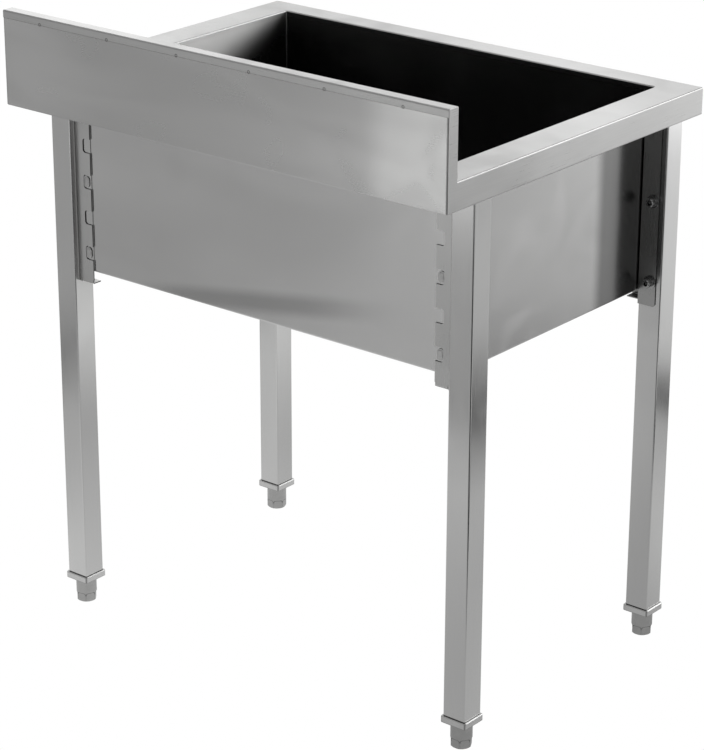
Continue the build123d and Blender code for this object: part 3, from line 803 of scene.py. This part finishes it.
class SINK_OT_feet(Operator):
    """Finish the feet and cut the studs' threads"""

    bl_idname = "sink.feet"
    bl_label = "Feet"

    TURNS = (28.0, 39.0, 32.0, 19.0)  # the way that one flat of each foot faces, in degrees
    CREST, ROOT = 0.00595, 0.00495  # radii of the thread
    HEAD_RADIUS, HEAD_HEIGHT = 0.008, 0.004
    TIP = 0.001  # plain end over the thread
    STEPS = 24  # round one turn of the thread
    INSIDE, OUTSIDE = (-0.0013, -0.0005), (0.0010, 0.0003)  # how far from a flat's edge its painted shadow fades

    def execute(self, context):
        colours = context.scene.sink_steel
        thread = steel("Rolled thread", colours.fastener, 0.3, grain=0.3, ripple=0.00002, patches=60.0)
        for corner, turn in zip(CORNERS, self.TURNS):
            low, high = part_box(f"foot_{corner}")
            middle = ((low[0] + high[0]) / 2, (low[1] + high[1]) / 2)
            turned = steel(
                f"Turned foot {corner}", colours.foot, 0.34, grain=0.5, ripple=0.00005, patches=60.0,
                dress=lambda *given: self.shade_flat_edges(*given, middle, turn),
            )
            finish_node(f"foot_{corner}", turned)
            piece = self.threaded_stud(f"threaded_stud_{corner}", *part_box(f"stud_{corner}"), thread)
            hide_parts(f"stud_{corner}")
            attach(piece, f"{corner}_stud")
        return {"FINISHED"}

    def shade_flat_edges(self, tree, colour, rough, middle, turn):
        """Painted shadow round the edges of the six milled flats. turn is the way that one of them faces, in degrees.
        """
        sizes = bpy.context.scene.sink_fasteners
        corner = sizes.flat_corner
        at = split(tree, "Object")
        across, along = (minus(tree, at[axis], middle[axis]) for axis in (0, 1))
        angle = minus(tree, calc(tree, "ARCTAN2", along, across), math.radians(turn - 30.0))
        angle = minus(tree, calc(tree, "FLOORED_MODULO", angle, math.tau / 6), math.tau / 12)
        aside = calc(tree, "ABSOLUTE", product(tree, distance(tree, across, along), calc(tree, "SINE", angle)))
        # distance to the edge of a flat with rounded upper corners
        past = calc(tree, "MAXIMUM", minus(tree, aside, sizes.flat_width / 2 - corner), 0.0)
        over = calc(tree, "MAXIMUM", minus(tree, at["Z"], sizes.flat_height - corner), 0.0)
        reach = minus(tree, distance(tree, past, over), corner)
        # the painted shadow is darkest at the flat's top
        top = fade(tree, at["Z"], sizes.flat_height - 0.006, sizes.flat_height - 0.002, 0.12, 0.6)
        flat_edge_shade = product(tree, fade(tree, reach, *self.INSIDE), fade(tree, reach, *self.OUTSIDE), top)
        return blacken(tree, colour, flat_edge_shade), rough

    def threaded_stud(self, name, low, high, material):
        """A stud with a rolled thread over its head."""
        pitch = bpy.context.scene.sink_fasteners.thread_pitch
        middle = Vector(((low[0] + high[0]) / 2, (low[1] + high[1]) / 2, 0))
        start, end = low[2] + self.HEAD_HEIGHT, high[2] - self.TIP
        turns = int((end - start) / pitch) - 1
        # radius, and height as a share of the pitch
        profile = [(self.ROOT, 0.0), (self.ROOT, 0.12), (self.CREST, 0.44), (self.CREST, 0.56), (self.ROOT, 0.88)]
        bm = bmesh.new()
        lines = []
        for k in range(turns * self.STEPS + 1):
            turn = math.tau * k / self.STEPS
            base = start + pitch * k / self.STEPS
            lines.append([
                bm.verts.new(middle + Vector((r * math.cos(turn), r * math.sin(turn), base + pitch * h)))
                for r, h in profile
            ])
        for first, second in zip(lines, lines[1:]):
            for j in range(len(profile) - 1):
                bm.faces.new((first[j], second[j], second[j + 1], first[j + 1]))
        for first, second, over, after in zip(lines, lines[1:], lines[self.STEPS:], lines[self.STEPS + 1:]):
            bm.faces.new((first[-1], second[-1], after[0], over[0]))
        core = (self.ROOT, self.STEPS, start, high[2])
        head = (self.HEAD_RADIUS, 36, low[2], start)
        for radius, sides, bottom, top in (core, head):
            cylinder = bmesh.ops.create_cone(
                bm, cap_ends=True, segments=sides, radius1=radius, radius2=radius, depth=top - bottom
            )["verts"]
            bmesh.ops.translate(bm, verts=cylinder, vec=middle + Vector((0, 0, (bottom + top) / 2)))
        return new_piece(name, bm, material, smooth=False)


class SINK_OT_welds(Operator):
    """Lay the welds in the brackets' notches"""

    bl_idname = "sink.welds"
    bl_label = "Welds"

    def execute(self, context):
        finish = steel(
            "Weld metal", context.scene.sink_steel.bracket, 0.4, grain=0.2, ripple=0.00003, patches=200.0
        )
        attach(set_out("weld_pools", self.pool(), self.pool_seats(), finish), "frame")
        return {"FINISHED"}

    def pool(self):
        """One flat weld that fills a notch: a low dome with a crater where the arc broke off."""
        half_width, half_height = 4.9, 7.0
        count = 28
        bm = bmesh.new()
        chance = random.Random(8)
        wobble = [1 + 0.07 * chance.uniform(-1, 1) for _ in range(count)]
        rings = []
        for size, height in ((1.0, -0.3), (0.99, 0.1), (0.9, 0.34), (0.7, 0.42), (0.45, 0.36), (0.2, 0.44)):
            ring = []
            for k in range(count):
                turn = math.tau * k / count
                squareness = 1 / max(abs(math.cos(turn)), abs(math.sin(turn))) ** 0.45
                reach = size * wobble[k] * squareness * MM
                lift = (height + 0.05 * chance.uniform(-1, 1)) * MM
                place = (half_width * reach * math.cos(turn), half_height * reach * math.sin(turn), lift)
                ring.append(bm.verts.new(place))
            rings.append(ring)
        skin(bm, rings)
        crater = turned_rings(bm, ((1.25, 0.2), (1.15, 0.62), (0.8, 0.68), (0.55, 0.3), (0.3, 0.1)), 12)
        for ring in crater:
            for corner in ring:
                corner.co += Vector((-3.2 * MM, 0.6 * MM, 0))
        skin(bm, crater)
        return new_piece("pool_template", bm)

    def pool_seats(self):
        """The middles of the flat welds, in every second notch of each bracket."""
        sizes = bpy.context.scene.sink_fasteners
        wall_low, wall_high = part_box("basin")
        seats = []
        for corner in CORNERS:
            low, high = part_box(f"bracket_{corner}")
            side = 1 if "right" in corner else -1
            way = 1 if corner.startswith("rear") else -1
            middle = (low[0] if side > 0 else high[0]) + side * sizes.weld_middle
            face = (wall_high if way > 0 else wall_low)[1] + way * sizes.weld_rise
            length = high[2] - low[2] - 2 * sizes.notch_end
            for share in (0, 0.5, 1):
                seats.append(((middle, face, low[2] + sizes.notch_end + length * share), (0, way, 0)))
        return seats


class SINK_OT_studio(Operator):
    """Set up the floor, the light and the camera"""

    bl_idname = "sink.studio"
    bl_label = "Studio"

    FLOOR_SIZE = 30.0  # from its middle to its edges
    SHEET_HALF_LENGTH, SHEET_HALF_WIDTH, SHEET_MIDDLE = 1.09, 1.12, 0.06
    LIT_ALL_ROUND = 0.05
    # lights: the way that they stand, the angles from it of their bright core and of their rim, and their strength
    WALLS = (
        ((0.60, -0.80, 0.0), 40, 85, 1.25),
        ((-0.78, -0.63, 0.0), 15, 60, 1.10),
        ((0.55, 0.83, 0.0), 20, 70, 0.10),
        ((-0.70, 0.71, 0.0), 20, 50, 0.30),
    )
    LAMPS = (
        ((0.0, 0.0, 1.0), 20, 45, 0.60),
        ((-0.35, -0.72, 0.57), 6, 18, 2.4),
        ((-0.95, -0.10, 0.45), 6, 16, 1.2),
        ((0.587, 0.368, 0.721), 12, 30, 0.35),
    )

    def execute(self, context):
        self.floor(context)
        self.light(context)
        self.camera(context)
        context.scene.view_settings.view_transform = "Standard"
        return {"FINISHED"}

    def floor(self, context):
        """A floor that is plain white to the camera and patchy in what the steel mirrors."""
        material = bpy.data.materials.new("Studio floor")
        material.use_nodes = True
        tree = material.node_tree
        tree.nodes.remove(tree.nodes["Principled BSDF"])
        strength = self.seen_plain(tree, self.floor_grey(tree))
        glow = add_node(
            tree, "ShaderNodeEmission", {"Color": (*context.scene.sink_studio.backdrop, 1.0), "Strength": strength}
        )
        # from below, the floor lets the sink's underside show
        below = add_node(tree, "ShaderNodeNewGeometry").outputs["Backfacing"]
        clear = add_node(tree, "ShaderNodeBsdfTransparent")
        either = add_node(tree, "ShaderNodeMixShader", {0: below, 1: glow.outputs[0], 2: clear.outputs[0]})
        tree.links.new(either.outputs[0], tree.nodes["Material Output"].inputs["Surface"])
        bm = bmesh.new()
        bmesh.ops.create_grid(bm, x_segments=1, y_segments=1, size=self.FLOOR_SIZE)
        new_piece("studio_floor", bm, material, smooth=False)

    def floor_grey(self, tree):
        """How light the floor is, place by place."""
        at = split(tree, "Object")
        x, y = at["X"], at["Y"]
        leftward, frontward = product(tree, x, -1.0), product(tree, y, -1.0)
        # a pale sheet under the sink, palest right of its middle, with a brighter pool at its front left
        past_x = minus(tree, calc(tree, "ABSOLUTE", x), self.SHEET_HALF_LENGTH)
        past_y = minus(tree, gap(tree, y, self.SHEET_MIDDLE), self.SHEET_HALF_WIDTH)
        past = calc(tree, "MAXIMUM", past_x, product(tree, past_y, 1.6))
        sheet = minus(tree, fade(tree, x, -0.3, 0.5, 0.52, 0.76), fade(tree, x, 0.45, 0.8, 0.0, 0.18))
        sheet = calc(tree, "ADD", sheet, self.ring(tree, x, y, (-0.5, -0.72), 0.45, 0.12, 0.16))
        # the bare floor, lighter far in front
        bare = fade(tree, frontward, 0.6, 2.2, 0.46, 0.56)
        bare = calc(tree, "ADD", bare, fade(tree, frontward, 2.3, 2.95, 0.0, 0.65))
        # a dark hem between them, deepest at the left
        hem = product(
            tree, fade(tree, past, -0.12, 0.0), fade(tree, past, 0.22, 0.10), fade(tree, x, -0.3, -0.8, 0.45, 1.0)
        )
        grey = product(tree, choose(tree, fade(tree, past, -0.1, 0.1), sheet, bare), minus(tree, 1.0, hem))
        # dimmer far to the left, except far in front
        dim = calc(tree, "MAXIMUM", fade(tree, x, -2.05, -1.8, 0.6, 1.0), fade(tree, frontward, 2.2, 2.8))
        # a window's patch on the floor, behind the sink
        grey = calc(tree, "ADD", product(tree, grey, dim), self.ring(tree, x, y, (1.15, 2.7), 0.62, 0.15, 1.45))
        # nothing lights the floor close by, behind the sink and to its left
        near = minus(tree, 1.0, self.ring(tree, x, y, (0.0, 0.0), 2.5, 3.1, 1.0))
        dark = product(tree, fade(tree, leftward, 0.5, 0.9), fade(tree, y, 0.15, 0.55), near)
        return product(tree, grey, fade(tree, dark, 0.0, 1.0, 1.0, 0.02))

    def ring(self, tree, x, y, middle, rim, core, strength):
        """A round pool of light on the floor, or where core is past rim, light all round a dark pool."""
        across, along = minus(tree, x, middle[0]), minus(tree, y, middle[1])
        return fade(tree, distance(tree, across, along), rim, core, 0.0, strength)

    def seen_plain(self, tree, mirrored):
        """Full strength to the camera, and another one to everything else."""
        seen = add_node(tree, "ShaderNodeLightPath").outputs["Is Camera Ray"]
        return choose(tree, seen, mirrored, 1.0)

    def light(self, context):
        """Low white walls round the sink, brightest in front of it, and lamps under a dark ceiling."""
        world = bpy.data.worlds.new("Studio")
        context.scene.world = world
        world.use_nodes = True
        tree = world.node_tree
        background = tree.nodes["Background"]
        direction = add_node(tree, "ShaderNodeTexCoord").outputs["Generated"]
        height = add_node(tree, "ShaderNodeSeparateXYZ", {0: direction}).outputs["Z"]
        flattened = times(tree, direction, (1, 1, 0))
        level = add_node(tree, "ShaderNodeVectorMath", {0: flattened}, operation="NORMALIZE").outputs[0]
        around = self.LIT_ALL_ROUND
        for wall in self.WALLS:
            around = calc(tree, "ADD", self.lobe(tree, level, *wall), around)
        low = fade(tree, height, 0.58, 0.36)
        total = calc(tree, "ADD", product(tree, around, low), self.LIT_ALL_ROUND)
        for lamp in self.LAMPS:
            total = calc(tree, "ADD", self.lobe(tree, direction, *lamp), total)
        tree.links.new(self.seen_plain(tree, total), background.inputs["Strength"])
        background.inputs["Color"].default_value = (*context.scene.sink_studio.backdrop, 1.0)

    def lobe(self, tree, direction, way, core, rim, strength):
        """Light from one way: full within core degrees of it, none past rim degrees."""
        length = math.sqrt(sum(c * c for c in way))
        toward = add_node(
            tree, "ShaderNodeVectorMath", {0: direction, 1: tuple(c / length for c in way)}, operation="DOT_PRODUCT"
        ).outputs["Value"]
        return fade(tree, toward, math.cos(math.radians(rim)), math.cos(math.radians(core)), 0.0, strength)

    def camera(self, context):
        """The camera that took the picture."""
        studio = context.scene.sink_studio
        lens = bpy.data.cameras.new("Camera")
        lens.lens = studio.focal_length
        lens.sensor_width = 36.0
        lens.sensor_fit = "AUTO"
        lens.clip_end = 100.0
        camera = show(bpy.data.objects.new("Camera", lens))
        az, el = studio.azimuth, studio.elevation
        forward = Vector((math.sin(az) * math.cos(el), -math.cos(az) * math.cos(el), math.sin(el)))
        turned = forward.to_track_quat("-Z", "Y").to_matrix() @ Euler((0, 0, studio.roll)).to_matrix()
        camera.rotation_euler = turned.to_euler()
        camera.location = studio.place
        context.scene.camera = camera


class SINK_PT_sidebar(Panel):
    """The sink's pieces and settings"""

    bl_idname = "SINK_PT_sidebar"
    bl_label = "Utility Sink"
    bl_space_type = "VIEW_3D"
    bl_region_type = "UI"
    bl_category = "Utility Sink"

    def draw(self, context):
        for operator in OPERATORS:
            self.layout.operator(operator.bl_idname)
        for settings in ("sink_steel", "sink_fasteners", "sink_studio"):
            box = self.layout.box()
            group = getattr(context.scene, settings)
            for name in group.__annotations__:
                box.prop(group, name)


OPERATORS = (
    SINK_OT_studio,
    SINK_OT_sheet_metal,
    SINK_OT_legs,
    SINK_OT_brackets,
    SINK_OT_fasteners,
    SINK_OT_feet,
    SINK_OT_welds,
)
CLASSES = (SinkSteel, SinkFasteners, SinkStudio, *OPERATORS, SINK_PT_sidebar)


def register():
    for each in CLASSES:
        bpy.utils.register_class(each)
    bpy.types.Scene.sink_steel = PointerProperty(type=SinkSteel)
    bpy.types.Scene.sink_fasteners = PointerProperty(type=SinkFasteners)
    bpy.types.Scene.sink_studio = PointerProperty(type=SinkStudio)


def unregister():
    del bpy.types.Scene.sink_steel, bpy.types.Scene.sink_fasteners, bpy.types.Scene.sink_studio
    for each in reversed(CLASSES):
        bpy.utils.unregister_class(each)


def main():
    register()
    bpy.ops.sink.studio()
    bpy.ops.sink.sheet_metal()
    bpy.ops.sink.legs()
    bpy.ops.sink.brackets()
    bpy.ops.sink.fasteners()
    bpy.ops.sink.feet()
    bpy.ops.sink.welds()


if __name__ == "__main__":
    main()
